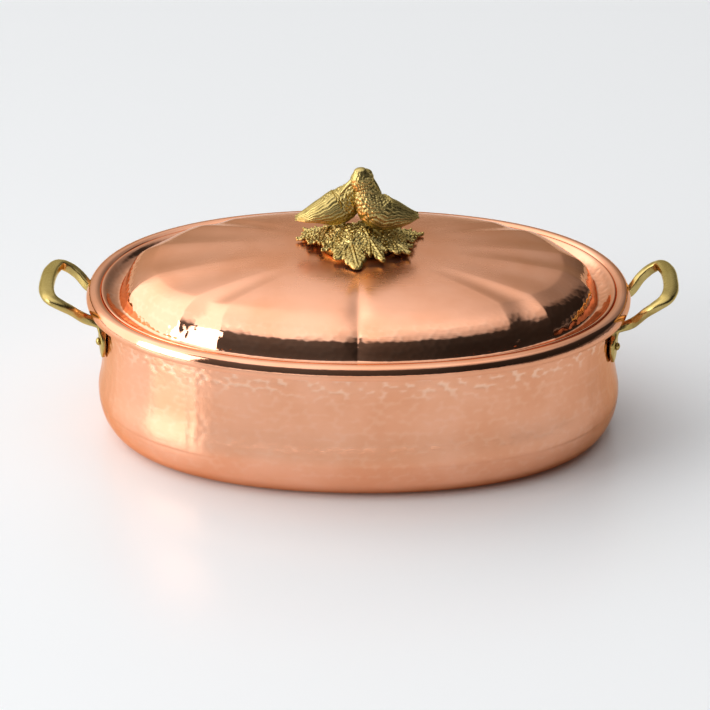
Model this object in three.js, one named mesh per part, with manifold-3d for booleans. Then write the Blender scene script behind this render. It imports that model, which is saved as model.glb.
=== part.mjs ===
// Oval hammered copper roasting pan with a lobed lid, two riveted brass handles,
// a tin lining, and a cast brass finial of two birds on a bed of leaves.
// Millimetres. X runs along the pan, Y across it and Z up. The origin is the middle of the flat base.
//
// Round and oval pieces are turned from a section drawn on the pan's short side, so a section's
// radius is a distance from the middle there. An inset is measured inwards from the lip's edge.

import * as THREE from 'three';
import { mergeVertices } from 'three/addons/utils/BufferGeometryUtils.js';
import Module from 'manifold-3d';

const wasm = await Module();
wasm.setup();

// Overall sizes
const rimHalfLength = 181;
const rimHalfWidth = 126.7;
const panHeight = 100.6;
const finialHeight = 86.1;
const ovalFullnessShare = 0.03;
const panSheet = 1.6;
const lidSheet = 1.2;
const tinThickness = 0.5;
const fitGap = 0.3;
const seatGap = 0.4;
const weldDistance = 0.001;

// Pan wall, from the base up to the rolled lip; drops are measured down from what stands above
const cornerReach = 18;
const bellyInset = 6;
const bellyHeight = 27;
const waistInset = 8.4;
const waistDrop = 10;
const footLineInset = 10;
const footLineDrop = 27;
const neckInset = 11.5;
const neckLand = 6;
const rollRise = 11.6;
const lipDrop = 8.7;
const lipCrestInset = 6;
const tinDrop = 2;
const sharpestMitreShare = 0.5;

// Lid, from the edge of its brim up to the finial
const brimEdgeInset = 10.3;
const brimLand = 1.8;
const brimFall = 5.5;
const domeFootInset = 21.8;
const domeWallRise = 13;
const domeShoulderInset = 29;
const domeRise = 33.1;
const domeTopInset = 45;
const domeTopRise = 22.7;
const lobeSwell = 2.8;
const lobeFadeRadius = 34;
const tinBrimInset = 24;
const grooveDegrees = 0.65;
const grooveReachDegrees = 2.6;
const ridgesDegrees = [0, 36.4, 49.4, 79.4, 100.6, 131, 144, 180, 212.5, 224.4, 252.6, 287.4, 315.6, 327.5];
const fluteDepthShare = 0.62;
const fluteBluntnessShares = [1.5, 1];
const lobeMeanShare = 0.7;
const crownStopShares = [0.3, 0.6, 0.8, 1];
const crownPower = 2.4;

// Stops of the lid's section: how far across a stretch of it, and how far up that stretch
const shoulderStopShares = [[0.55, 0.68], [0.25, 0.4]];
const wallStopShares = [0.62, 0.1];
const wallBulge = 0.8;
const brimDipShares = [0.6, 0.3];

// Handles
const handleReach = 31.2;
const rightHandleRise = 20.4;
const leftHandleRise = 16.4;
const handleHalfWidth = 30.2;
const armHalfWidthAtLip = 24.1;
const armDropUnderLip = 7;
const armHalfThickness = 3.2;
const gripHalfBreadth = 5;
const footDegrees = 12;
const footDrop = 25;
const footHalfWidth = 8.5;
const footThickness = 3.4;
const footTipThickness = 2.2;
const footTipHalfWidth = 2.5;
const footShoulderShare = 0.8;
const footTaperShare = 0.39;
const barBluntnessShare = 0.8;

// Where the bar turns from standing off the wall to lying level, as shares of its length from the middle
const barTurnShares = [0.18, 0.36];

// Stops from the arm to the corner of the grip, each a share of the reach, of the handle's half width,
// of the rise and of the grip's half breadth
const armStopShares = [
  [0.31, 0.937, 0.46, 0.64],
  [0.55, 1, 0.72, 0.736],
  [0.8, 0.93, 0.92, 0.87],
  [0.95, 0.6, 0.98, 1],
];

// Rivets
const rivetDrop = 14.5;
const rivetShankRadius = 2;
const rivetHeadRadius = 2.7;
const rivetHeadRise = 2.2;
const rivetInnerHeadRadius = 3.4;
const rivetInnerHeadRise = 1.5;
const rivetInnerGap = 0.9;

// Finial
const bedHalfLength = 44;
const bedHover = 2;
const bedEdgeThickness = 2.2;
const bedRise = 16.9;
const bedTopShares = [0.12, 0.4, 0.55, 0.7, 0.85, 1];
const bedUnderShares = [1, 0.6, 0.12];
const bedBodyShare = 0.8;
const bedFlatteningShare = 0.55;
const moundEdgeShares = [0.42, 1.04];
const bossRadius = 10;
const studRadius = 3;
const studLength = 24;
const studDepthInBed = 9;
const washerRadius = 9;
const washerThickness = 1.2;
const nutAcrossCorners = 12.6;
const nutHeight = 5;
const birdSpan = 44;
const beakRadiusShare = 0.06;

const copper = { color: 0xd98e6a, roughness: 0.22, metalness: 1 };
const tin = { color: 0xc9c8c2, roughness: 0.38, metalness: 1 };
const brass = { color: 0xa98a3c, roughness: 0.3, metalness: 1 };

const turns = 72;
const tinTurns = 36;
const up = new THREE.Vector3(0, 0, 1);
const fullTurn = 2 * Math.PI;

// Geometry helpers

function radians(degrees) {
  return THREE.MathUtils.degToRad(degrees);
}

function atInset(inset, height) {
  return new THREE.Vector2(rimHalfWidth - inset, height);
}

// Points of a quarter or half ellipse in a section, without the point at its start.
function arcPoints(centre, reach, rise, fromDegrees, toDegrees, steps) {
  const points = [];
  for (let step = 1; step <= steps; step += 1) {
    const angle = radians(THREE.MathUtils.lerp(fromDegrees, toDegrees, step / steps));
    const offset = new THREE.Vector2(reach * Math.cos(angle), rise * Math.sin(angle));
    points.push(offset.add(centre));
  }
  return points;
}

// The other face of a sheet: each point moves to the left of the way the path runs.
function leftFace(path, distance) {
  return path.map((point, index) => {
    const before = path[Math.max(index - 1, 0)];
    const after = path[Math.min(index + 1, path.length - 1)];
    const arriving = point.clone().sub(before).normalize();
    const leaving = after.clone().sub(point).normalize();
    if (index === 0) arriving.copy(leaving);
    if (index === path.length - 1) leaving.copy(arriving);
    const normal = new THREE.Vector2(-arriving.y - leaving.y, arriving.x + leaving.x).normalize();
    const mitreShare = normal.dot(new THREE.Vector2(-arriving.y, arriving.x));
    return point.clone().addScaledVector(normal, distance / Math.max(mitreShare, sharpestMitreShare));
  });
}

// The closed outline of a sheet between two offsets of one path.
function sheetOutline(path, nearOffset, farOffset) {
  const near = leftFace(path, nearOffset);
  const far = leftFace(path, farOffset);
  const outline = [...near, ...far.reverse()];
  const startsOnAxis = near[0].x < weldDistance;
  return startsOnAxis ? outline : [...outline, near[0].clone()];
}

// Joins vertices that share a place, drops triangles without area and turns the faces out.
function weld(geometry) {
  const bare = new THREE.BufferGeometry();
  bare.setAttribute('position', geometry.getAttribute('position').clone());
  if (geometry.getIndex()) bare.setIndex(geometry.getIndex().clone());
  const merged = mergeVertices(bare, weldDistance);
  const index = merged.getIndex().array;
  const place = merged.getAttribute('position');
  const corner = [new THREE.Vector3(), new THREE.Vector3(), new THREE.Vector3()];
  const kept = [];
  let volume = 0;
  for (let first = 0; first < index.length; first += 3) {
    const [a, b, c] = [index[first], index[first + 1], index[first + 2]];
    if (a === b || b === c || c === a) continue;
    kept.push(a, b, c);
    corner[0].fromBufferAttribute(place, a);
    corner[1].fromBufferAttribute(place, b);
    corner[2].fromBufferAttribute(place, c);
    volume += corner[0].dot(corner[1].cross(corner[2]));
  }
  merged.setIndex(volume < 0 ? kept.reverse() : kept);
  return merged;
}

function toSolid(geometry) {
  const welded = weld(geometry);
  const vertProperties = new Float32Array(welded.getAttribute('position').array);
  const triVerts = new Uint32Array(welded.getIndex().array);
  return new wasm.Manifold(new wasm.Mesh({ numProp: 3, vertProperties, triVerts }));
}

function fromSolid(solid) {
  const mesh = solid.getMesh();
  const geometry = new THREE.BufferGeometry();
  geometry.setAttribute('position', new THREE.BufferAttribute(new Float32Array(mesh.vertProperties), 3));
  geometry.setIndex(new THREE.BufferAttribute(new Uint32Array(mesh.triVerts), 1));
  return geometry;
}

// A closed skin over rings of equal size; its two ends are closed on the middle of the end rings.
function skinOver(rings) {
  const size = rings[0].length;
  const places = rings.flat().flatMap((point) => point.toArray());
  const faces = [];
  for (let ring = 0; ring < rings.length - 1; ring += 1) {
    for (let side = 0; side < size; side += 1) {
      const next = (side + 1) % size;
      const low = ring * size;
      const high = low + size;
      faces.push(low + side, low + next, high + next, low + side, high + next, high + side);
    }
  }
  const firstCap = rings.length * size;
  const lastRing = firstCap - size;
  for (const ring of [rings[0], rings[rings.length - 1]]) {
    const middle = new THREE.Vector3();
    ring.forEach((point) => middle.addScaledVector(point, 1 / size));
    places.push(...middle.toArray());
  }
  for (let side = 0; side < size; side += 1) {
    const next = (side + 1) % size;
    faces.push(firstCap, next, side);
    faces.push(firstCap + 1, lastRing + side, lastRing + next);
  }
  const geometry = new THREE.BufferGeometry();
  geometry.setAttribute('position', new THREE.Float32BufferAttribute(places, 3));
  geometry.setIndex(faces);
  return geometry;
}

// The pan's oval: an ellipse made a little fuller between its ends and its sides

function ovalFullness(angle) {
  return 1 + ovalFullnessShare * Math.sin(2 * angle) ** 2;
}

function ovalNormal(angle) {
  const full = ovalFullness(angle);
  const change = 2 * ovalFullnessShare * Math.sin(4 * angle);
  const alongX = rimHalfWidth * (Math.cos(angle) * full + Math.sin(angle) * change);
  const alongY = rimHalfLength * (Math.sin(angle) * full - Math.cos(angle) * change);
  return new THREE.Vector3(alongX, alongY, 0).normalize();
}

// A point of the lip's oval, moved inwards square to it.
function ovalPoint(angle, inset) {
  const full = ovalFullness(angle);
  const edgeX = rimHalfLength * full * Math.cos(angle);
  const edgeY = rimHalfWidth * full * Math.sin(angle);
  return new THREE.Vector3(edgeX, edgeY, 0).addScaledVector(ovalNormal(angle), -inset);
}

// Where a section's point lies: outside the middle zone the oval keeps its distance to the lip,
// and inside it the oval shrinks evenly to the centre.
function ovalPlace(angle, radius) {
  const middleRadius = rimHalfWidth - domeTopInset;
  if (radius >= middleRadius) return ovalPoint(angle, rimHalfWidth - radius);
  return ovalPoint(angle, domeTopInset).multiplyScalar(radius / middleRadius);
}

// Turns a section into an oval piece; shift moves each point of it outwards and upwards.
function turnOval(outline, steps, shift) {
  const geometry = new THREE.LatheGeometry(outline, steps);
  const place = geometry.getAttribute('position');
  for (let index = 0; index < place.count; index += 1) {
    const radius = Math.hypot(place.getX(index), place.getZ(index));
    const height = place.getY(index);
    const angle = Math.atan2(place.getX(index), place.getZ(index));
    const move = shift(angle, radius);
    const spot = ovalPlace(angle, radius + move.outward);
    place.setXYZ(index, spot.x, spot.y, height + move.upward);
  }
  return weld(geometry);
}

function noShift() {
  return { outward: 0, upward: 0 };
}

// Pan

const rollStartHeight = panHeight - rollRise;
const lipEdgeHeight = panHeight - lipDrop;
const neckHeight = rollStartHeight - neckLand;
const footLineHeight = neckHeight - footLineDrop;
const waistHeight = footLineHeight - waistDrop;
const tinTopHeight = rollStartHeight - tinDrop;

// The outer and under face of the pan's copper sheet, from the middle of the base to the lip's edge.
function panPath() {
  const cornerCentre = atInset(bellyInset + cornerReach, bellyHeight);
  const rollInner = atInset(lipCrestInset, rollStartHeight);
  const rollOuter = atInset(lipCrestInset, lipEdgeHeight);
  const crestHeight = panHeight - panSheet;
  return [
    new THREE.Vector2(0, 0),
    new THREE.Vector2(cornerCentre.x, 0),
    ...arcPoints(cornerCentre, cornerReach, bellyHeight, -90, 0, 4),
    atInset(waistInset, waistHeight),
    atInset(footLineInset, footLineHeight),
    atInset(neckInset, neckHeight),
    atInset(neckInset, rollStartHeight),
    ...arcPoints(rollInner, lipCrestInset - neckInset, crestHeight - rollStartHeight, 0, 90, 3),
    ...arcPoints(rollOuter, lipCrestInset - panSheet, crestHeight - lipEdgeHeight, 90, 0, 3),
  ];
}

// The inset of the wall's outer face at a height between the foot line and the neck.
function wallInset(height) {
  const share = (height - footLineHeight) / (neckHeight - footLineHeight);
  return THREE.MathUtils.lerp(footLineInset, neckInset, share);
}

function panBody() {
  return turnOval(sheetOutline(panPath(), 0, panSheet), turns, noShift);
}

// The tin follows the inside of the copper up to a line under the lip.
function panLining() {
  const path = panPath().filter((point) => point.y < neckHeight + weldDistance);
  path.push(atInset(neckInset, tinTopHeight));
  return turnOval(sheetOutline(path, panSheet + fitGap, panSheet + fitGap + tinThickness), tinTurns, noShift);
}

// Lid

// How far the lid stands out at an angle: one on a ridge and zero in the groove at its front and back.
// Between two ridges lies a hollow flute, soft near the finial and sharp at the wall.
function lobeShare(angle, wallShare) {
  const turned = THREE.MathUtils.radToDeg(angle) + 90 - grooveDegrees;
  const degrees = THREE.MathUtils.euclideanModulo(turned, 360);
  const fromGroove = Math.min(degrees % 180, 180 - (degrees % 180));
  const groove = Math.exp(-fromGroove / grooveReachDegrees);
  const ends = [...ridgesDegrees, 360];
  const lobe = ends.findIndex((ridge) => ridge > degrees) - 1;
  const besideGroove = ends[lobe] % 180 === 0 || ends[lobe + 1] % 180 === 0;
  if (besideGroove) return 1 - groove;
  const across = (degrees - ends[lobe]) / (ends[lobe + 1] - ends[lobe]);
  const bluntness = THREE.MathUtils.lerp(...fluteBluntnessShares, wallShare);
  return 1 - groove - fluteDepthShare * Math.sin(Math.PI * across) ** bluntness;
}

// Flutes and grooves are deepest at the shoulder and fade towards the finial and the brim.
function lobeShift(angle, radius) {
  const shoulder = rimHalfWidth - domeShoulderInset;
  const foot = rimHalfWidth - domeFootInset;
  const rimFade = 1 - THREE.MathUtils.smoothstep(radius, shoulder, foot + (foot - shoulder));
  const middleFade = THREE.MathUtils.smoothstep(radius, lobeFadeRadius, shoulder);
  const swell = lobeSwell * (lobeShare(angle, middleFade) - lobeMeanShare) * middleFade * rimFade;
  return { outward: swell * middleFade, upward: swell * (1 - middleFade / 2) };
}

// Height of the lip's inner shoulder at an inset, read off the pan's own section.
function shoulderHeight(inset) {
  const radius = rimHalfWidth - inset;
  const face = leftFace(panPath(), panSheet);
  const above = face.findIndex((point) => point.x > radius && point.y > rollStartHeight);
  const share = (radius - face[above - 1].x) / (face[above].x - face[above - 1].x);
  return THREE.MathUtils.lerp(face[above - 1].y, face[above].y, share);
}

const brimHeight = shoulderHeight(brimEdgeInset) + fitGap + lidSheet;
const domeFootHeight = brimHeight - brimFall;
const domeHeight = domeFootHeight + domeRise;
const studHoleRadius = studRadius + fitGap;

// The top face of the lid's sheet, from the stud's hole out to the edge of the brim.
function lidPath() {
  const middleRadius = rimHalfWidth - domeTopInset;
  const crown = domeRise - domeTopRise;
  const crownPoints = crownStopShares.map((share) => {
    const radius = middleRadius * share;
    return new THREE.Vector2(radius, domeHeight - crown * share ** crownPower);
  });
  const wallReach = domeShoulderInset - domeFootInset;
  const wallStopInset = domeFootInset + wallReach * wallStopShares[0] - wallBulge;
  const wallTop = domeFootHeight + domeWallRise;
  const shoulderReach = domeTopInset - domeShoulderInset;
  const shoulderRise = domeTopRise - domeWallRise;
  const shoulderPoints = shoulderStopShares.map(([reachShare, riseShare]) => (
    atInset(domeShoulderInset + shoulderReach * reachShare, wallTop + shoulderRise * riseShare)
  ));
  const dipInset = THREE.MathUtils.lerp(brimEdgeInset, domeFootInset, brimDipShares[0]);
  return [
    new THREE.Vector2(studHoleRadius, domeHeight),
    new THREE.Vector2(washerRadius + fitGap, domeHeight),
    ...crownPoints,
    ...shoulderPoints,
    atInset(domeShoulderInset, wallTop),
    atInset(wallStopInset, domeFootHeight + domeWallRise * wallStopShares[0]),
    atInset(domeFootInset + lidSheet, domeFootHeight + domeWallRise * wallStopShares[1]),
    atInset(domeFootInset - lidSheet, domeFootHeight),
    atInset(dipInset, domeFootHeight + brimFall * brimDipShares[1]),
    atInset(brimEdgeInset + brimLand, brimHeight),
    atInset(brimEdgeInset, brimHeight),
  ];
}

// The path runs outwards, so the metal lies to its right.
function lidShell() {
  return turnOval(sheetOutline(lidPath(), 0, -lidSheet), turns, lobeShift);
}

// The tin under the dome has every other stop of the lid's section, which its thin skin can span.
function lidLining() {
  const inside = lidPath().filter((point) => point.x < rimHalfWidth - tinBrimInset);
  const path = inside.filter((point, index) => index === 0 || index % 2 === 1);
  const near = -(lidSheet + fitGap);
  return turnOval(sheetOutline(path, near, near - tinThickness), turns, lobeShift);
}

// Handles

const footAngle = radians(footDegrees);
const footBottomHeight = neckHeight - footDrop;
const rivetHeight = neckHeight - rivetDrop;
const rivetInset = wallInset(rivetHeight);

// A place beside the wall: a height, a distance out from the copper and the wall's own angle.
function besideWall(height, out) {
  const wall = ovalPoint(footAngle, wallInset(height) - out);
  return new THREE.Vector3(wall.x, wall.y, height);
}

// Half of the handle's middle line, from the foot's tip up the wall and round to the middle of the grip.
// Each stop has its half width across the bar and its half thickness.
function handleStops(handleRise) {
  const lipHeight = lipEdgeHeight - armDropUnderLip;
  const gripX = rimHalfLength + handleReach - gripHalfBreadth;
  const foot = (height, halfWidth, halfThick) => (
    [besideWall(height, seatGap + halfThick), halfWidth, halfThick]
  );
  const tapered = footThickness * footTaperShare;
  const wristHalfThick = (footThickness / 2 + armHalfThickness) / 2;
  const shoulderHalfWidth = footHalfWidth * footShoulderShare;
  const arm = armStopShares.map(([reachShare, spreadShare, riseShare, breadthShare]) => {
    const x = THREE.MathUtils.lerp(rimHalfLength, gripX, reachShare);
    const spot = new THREE.Vector3(x, handleHalfWidth * spreadShare, lipHeight + handleRise * riseShare);
    return [spot, gripHalfBreadth * breadthShare, armHalfThickness];
  });
  return [
    foot(footBottomHeight, footTipHalfWidth, footTipThickness / 2),
    foot((footBottomHeight + rivetHeight) / 2, shoulderHalfWidth, tapered),
    foot(rivetHeight, footHalfWidth, footThickness / 2),
    foot(rivetHeight + rivetHeadRadius, footHalfWidth, footThickness / 2),
    foot(rivetHeight + rivetHeadRadius * 3, shoulderHalfWidth, wristHalfThick),
    foot(neckHeight - armHalfThickness, armHalfThickness, armHalfThickness),
    [new THREE.Vector3(rimHalfLength, armHalfWidthAtLip, lipHeight), armHalfThickness, armHalfThickness],
    ...arm,
    [new THREE.Vector3(gripX, 0, lipHeight + handleRise), gripHalfBreadth, armHalfThickness],
  ];
}

// A handle on the pan's right end: a bar whose section changes along its middle line, with flattened feet.
function handleBlank(handleRise) {
  const half = handleStops(handleRise);
  const other = half.slice(0, -1).reverse();
  const acrossPan = new THREE.Vector3(1, -1, 1);
  const mirrored = other.map(([spot, width, thick]) => [spot.clone().multiply(acrossPan), width, thick]);
  const stops = [...half, ...mirrored];
  const middleLine = new THREE.CatmullRomCurve3(stops.map((stop) => stop[0]), false, 'centripetal');
  const perStop = 2;
  const count = (stops.length - 1) * perStop;
  const sides = 10;
  const rings = [];
  for (let station = 0; station <= count; station += 1) {
    const along = station / count;
    const stop = Math.min(Math.floor(station / perStop), stops.length - 2);
    const between = station / perStop - stop;
    const width = THREE.MathUtils.lerp(stops[stop][1], stops[stop + 1][1], between);
    const thick = THREE.MathUtils.lerp(stops[stop][2], stops[stop + 1][2], between);
    const spot = middleLine.getPoint(along);
    const ahead = middleLine.getTangent(along);
    const wallSide = along < 0.5 ? footAngle : -footAngle;
    const outward = ovalNormal(wallSide);
    const nearFoot = THREE.MathUtils.smoothstep(Math.abs(along - 0.5), ...barTurnShares);
    const facing = outward.multiplyScalar(nearFoot).addScaledVector(up, nearFoot - 1);
    facing.addScaledVector(ahead, -facing.dot(ahead)).normalize();
    const across = new THREE.Vector3().crossVectors(facing, ahead);
    const ring = [];
    for (let side = 0; side < sides; side += 1) {
      const angle = fullTurn * (side + 0.5) / sides;
      const wide = Math.sign(Math.cos(angle)) * Math.abs(Math.cos(angle)) ** barBluntnessShare;
      const deep = Math.sign(Math.sin(angle)) * Math.abs(Math.sin(angle)) ** barBluntnessShare;
      ring.push(spot.clone().addScaledVector(across, width * wide).addScaledVector(facing, thick * deep));
    }
    rings.push(ring);
  }
  return skinOver(rings);
}

// Rivets

const rivetSeat = seatGap + footThickness + fitGap;
const rivetInside = panSheet + fitGap + tinThickness + rivetInnerGap;

// A rivet along its own axis, from the inner head to the outer one, with zero at the wall's outer face.
function rivetOutline() {
  const inside = new THREE.Vector2(0, -rivetInside);
  const outside = new THREE.Vector2(0, rivetSeat);
  const innerHead = arcPoints(inside, rivetInnerHeadRadius, rivetInnerHeadRise, -90, 0, 3);
  const outerHead = arcPoints(outside, rivetHeadRadius, rivetHeadRise, 0, 90, 3);
  return [
    new THREE.Vector2(0, -rivetInside - rivetInnerHeadRise),
    ...innerHead,
    new THREE.Vector2(rivetShankRadius, -rivetInside),
    new THREE.Vector2(rivetShankRadius, rivetSeat),
    new THREE.Vector2(rivetHeadRadius, rivetSeat),
    ...outerHead,
  ];
}

// Stands a piece that was turned about its own axis on the wall at a rivet, facing out.
function standOnWall(object, angle) {
  const wall = ovalPoint(angle, rivetInset);
  object.position.set(wall.x, wall.y, rivetHeight);
  object.quaternion.setFromUnitVectors(new THREE.Vector3(0, 1, 0), ovalNormal(angle));
  object.updateMatrix();
  return object;
}

const rivetPlaces = [
  { name: 'right_back', angle: footAngle },
  { name: 'left_back', angle: Math.PI - footAngle },
  { name: 'left_front', angle: Math.PI + footAngle },
  { name: 'right_front', angle: -footAngle },
];

// Cuts the four rivet holes through a piece of the pan's end.
function drillForRivets(geometry) {
  const reach = 2 * (rivetSeat + rivetInside);
  const drill = new THREE.CylinderGeometry(rivetShankRadius + fitGap, rivetShankRadius + fitGap, reach, 12);
  let solid = toSolid(geometry);
  for (const place of rivetPlaces) {
    const holder = standOnWall(new THREE.Object3D(), place.angle);
    solid = solid.subtract(toSolid(drill.clone().applyMatrix4(holder.matrix)));
  }
  return fromSolid(solid);
}

// Finial

// Leaf tips and the notches between them, going round from the right: degrees, and reach as a
// share of the bed's half length.
const leafReachShares = [
  [0, 0.9], [12, 0.76], [24, 1], [38, 0.72], [50, 0.86], [64, 0.62], [78, 0.78], [92, 0.6],
  [106, 0.8], [121, 0.62], [134, 0.86], [149, 0.7], [158, 0.92], [165, 0.82], [171, 0.98], [181, 0.68],
  [190, 0.77], [203, 0.62], [222, 0.82], [232, 0.58], [240, 0.74], [252, 0.58], [269, 0.83], [283, 0.56],
  [292, 0.68], [300, 0.57], [309, 0.72], [322, 0.62], [337, 0.9], [349, 0.7],
];

const bedTop = domeHeight + bedRise;
const bedBottom = domeHeight + bedHover;

// One corner of the leaf bed at a share of the way from its middle to its edge.
function bedPoint(leaf, share, top) {
  const [degrees, reachShare] = leaf;
  const angle = radians(degrees);
  const reach = bedHalfLength * THREE.MathUtils.lerp(bedBodyShare, reachShare, share) * share;
  const droop = bedHover * share * share;
  const mound = 1 - THREE.MathUtils.smoothstep(share, ...moundEdgeShares);
  const edge = bedBottom - droop + (top ? bedEdgeThickness : 0);
  const height = top ? THREE.MathUtils.lerp(edge, bedTop, mound) : edge;
  const flattened = THREE.MathUtils.lerp(bedFlatteningShare, 1, share * share);
  return new THREE.Vector3(reach * Math.cos(angle), reach * Math.sin(angle) * flattened, height);
}

function leafBed() {
  const rings = [
    ...bedTopShares.map((share) => leafReachShares.map((leaf) => bedPoint(leaf, share, true))),
    ...bedUnderShares.map((share) => leafReachShares.map((leaf) => bedPoint(leaf, share, false))),
  ];
  const bossHeight = bedHover + bedEdgeThickness;
  const boss = new THREE.CylinderGeometry(bossRadius, bossRadius, bossHeight - fitGap, 24);
  boss.rotateX(Math.PI / 2).translate(0, 0, domeHeight + (bossHeight + fitGap) / 2);
  const holeDepth = bedHover + studDepthInBed;
  const hole = new THREE.CylinderGeometry(studHoleRadius, studHoleRadius, 2 * holeDepth, 12);
  hole.rotateX(Math.PI / 2).translate(0, 0, domeHeight);
  return fromSolid(toSolid(skinOver(rings)).add(toSolid(boss)).subtract(toSolid(hole)));
}

// A bird is a tapering body along a bent middle line from its tail to the top of its head,
// with a beak. Each stop is a place, a half width and a half height: widths and places on the level are
// shares of the birds' span, and heights are shares of their rise.
const rightBirdShares = [
  [0.932, 0.07, 0.154, 0.1, 0.032], [0.773, 0.05, 0.162, 0.16, 0.103], [0.568, 0.02, 0.203, 0.216, 0.191],
  [0.375, -0.03, 0.26, 0.25, 0.245], [0.239, -0.09, 0.346, 0.227, 0.25], [0.148, -0.115, 0.498, 0.177, 0.211],
  [0.105, -0.12, 0.652, 0.141, 0.157], [0.045, -0.112, 0.816, 0.143, 0.176], [0.03, -0.108, 0.94, 0.09, 0.1],
  [0.027, -0.106, 0.985, 0.03, 0.03],
];
const rightBeakShares = [[-0.04, -0.12, 0.83], [-0.26, -0.14, 0.64]];
const leftBirdShares = [
  [-0.932, 0.07, 0.056, 0.1, 0.029], [-0.784, 0.07, 0.096, 0.17, 0.083], [-0.614, 0.07, 0.154, 0.216, 0.157],
  [-0.42, 0.09, 0.216, 0.25, 0.225], [-0.25, 0.12, 0.301, 0.227, 0.24], [-0.125, 0.145, 0.436, 0.17, 0.186],
  [-0.011, 0.165, 0.571, 0.125, 0.142], [0.095, 0.17, 0.694, 0.123, 0.147], [0.12, 0.17, 0.8, 0.08, 0.09],
  [0.127, 0.17, 0.84, 0.03, 0.03],
];
const leftBeakShares = [[0.16, 0.165, 0.69], [0.335, 0.13, 0.45]];
const birdRise = finialHeight - (bedTop - panHeight);

function birdPlace(shares) {
  const [x, y, z] = shares;
  return new THREE.Vector3(x * birdSpan, y * birdSpan, bedTop + fitGap + z * birdRise);
}

function bird(stops, beak) {
  const sides = 12;
  const spine = stops.map(birdPlace);
  const rings = stops.map((stop, index) => {
    const before = spine[Math.max(index - 1, 0)];
    const after = spine[Math.min(index + 1, spine.length - 1)];
    const ahead = after.clone().sub(before).normalize();
    const sideways = new THREE.Vector3(0, 1, 0).addScaledVector(ahead, -ahead.y).normalize();
    const over = new THREE.Vector3().crossVectors(sideways, ahead);
    const ring = [];
    for (let side = 0; side < sides; side += 1) {
      const angle = fullTurn * side / sides;
      const point = spine[index].clone().addScaledVector(sideways, stop[3] * birdSpan * Math.cos(angle));
      ring.push(point.addScaledVector(over, stop[4] * birdRise * Math.sin(angle)));
    }
    return ring;
  });
  const [root, tip] = beak.map(birdPlace);
  const length = root.distanceTo(tip);
  const cone = new THREE.ConeGeometry(birdSpan * beakRadiusShare, length, 8).translate(0, length / 2, 0);
  const way = tip.clone().sub(root).normalize();
  const turn = new THREE.Quaternion().setFromUnitVectors(new THREE.Vector3(0, 1, 0), way);
  cone.applyQuaternion(turn).translate(root.x, root.y, root.z);
  return fromSolid(toSolid(skinOver(rings)).add(toSolid(cone)));
}

// Fixing of the finial under the lid

const washerTop = domeHeight - lidSheet - fitGap - tinThickness - fitGap;

function finialStud() {
  const stud = new THREE.CylinderGeometry(studRadius, studRadius, studLength, 16);
  const top = domeHeight + bedHover + studDepthInBed - fitGap;
  return stud.rotateX(Math.PI / 2).translate(0, 0, top - studLength / 2);
}

function finialWasher() {
  const outline = [
    new THREE.Vector2(studHoleRadius, washerTop),
    new THREE.Vector2(studHoleRadius, washerTop - washerThickness),
    new THREE.Vector2(washerRadius, washerTop - washerThickness),
    new THREE.Vector2(washerRadius, washerTop),
    new THREE.Vector2(studHoleRadius, washerTop),
  ];
  return weld(new THREE.LatheGeometry(outline, 24).rotateX(Math.PI / 2));
}

function finialNut() {
  const blank = new THREE.CylinderGeometry(nutAcrossCorners / 2, nutAcrossCorners / 2, nutHeight, 6);
  const bore = new THREE.CylinderGeometry(studHoleRadius, studHoleRadius, 2 * nutHeight, 16);
  const middle = washerTop - washerThickness - fitGap - nutHeight / 2;
  const nut = toSolid(blank).subtract(toSolid(bore));
  return fromSolid(nut).rotateX(Math.PI / 2).translate(0, 0, middle);
}

// Assembly

function addPiece(parent, name, geometry, finish) {
  const mesh = new THREE.Mesh(geometry, new THREE.MeshStandardMaterial(finish));
  mesh.name = name;
  parent.add(mesh);
  return mesh;
}

const roastingPan = new THREE.Group();

const pan = new THREE.Group();
roastingPan.add(pan);
addPiece(pan, 'pan_body', drillForRivets(panBody()), copper);
addPiece(pan, 'pan_lining', drillForRivets(panLining()), tin);

addPiece(pan, 'right_handle', drillForRivets(handleBlank(rightHandleRise)), brass);
addPiece(pan, 'left_handle', drillForRivets(handleBlank(leftHandleRise)), brass).rotation.z = Math.PI;

const rivetGeometry = weld(new THREE.LatheGeometry(rivetOutline(), 12));
for (const place of rivetPlaces) {
  standOnWall(addPiece(pan, `${place.name}_rivet`, rivetGeometry, brass), place.angle);
}

const lid = new THREE.Group();
roastingPan.add(lid);
addPiece(lid, 'lid_shell', lidShell(), copper);
addPiece(lid, 'lid_lining', lidLining(), tin);
addPiece(lid, 'leaf_bed', leafBed(), brass);
addPiece(lid, 'right_bird', bird(rightBirdShares, rightBeakShares), brass);
addPiece(lid, 'left_bird', bird(leftBirdShares, leftBeakShares), brass);
addPiece(lid, 'finial_stud', finialStud(), brass);
addPiece(lid, 'finial_washer', finialWasher(), brass);
addPiece(lid, 'finial_nut', finialNut(), brass);

export default roastingPan;
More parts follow.
